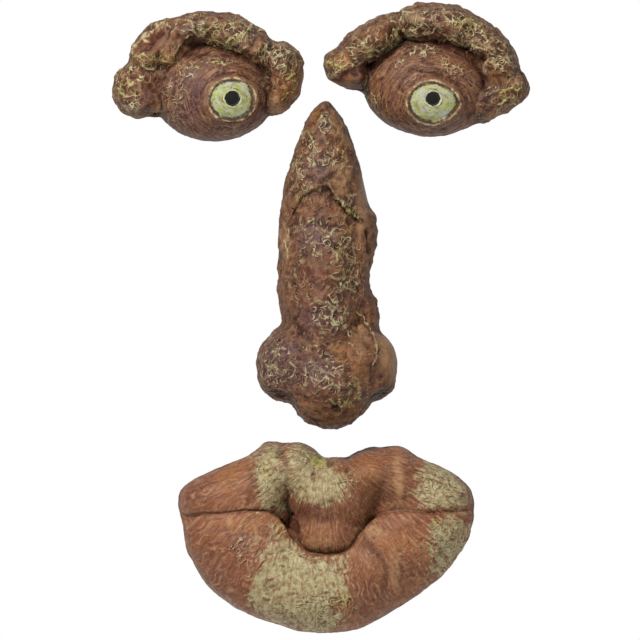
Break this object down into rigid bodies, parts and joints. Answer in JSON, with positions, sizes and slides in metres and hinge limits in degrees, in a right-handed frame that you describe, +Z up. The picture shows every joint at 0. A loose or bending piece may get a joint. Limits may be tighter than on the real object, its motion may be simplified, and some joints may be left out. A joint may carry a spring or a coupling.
{
  "type": "tree face sculpture",
  "caption": "Tree face for a trunk or wall: two bulging eyes under rolled bark brows, a long bark nose and full lips, cast in painted resin, each flat-backed with a keyhole.",
  "frame": {"origin": "middle of the nose's flat back", "axes": "+X to the viewer's right, +Z up, +Y out of the flat backs into the trunk or wall; the carving faces -Y"},
  "size_m": [0.2355, 0.0485, 0.3571],
  "materials": {
    "eye_resin": "cast resin painted red-brown with yellow-green dry brushing, iris pale yellow-green and pupil black",
    "nose_resin": "cast resin carved as bark, painted red-brown and purple-brown with pale ridges",
    "lip_resin": "cast resin brushed orange-brown with broad pale green patches, softly satin"
  },
  "bodies": {
    "root": {"left_eye": "eye_resin", "right_eye": "eye_resin", "nose": "nose_resin", "mouth": "lip_resin"}
  },
  "joints": []
}
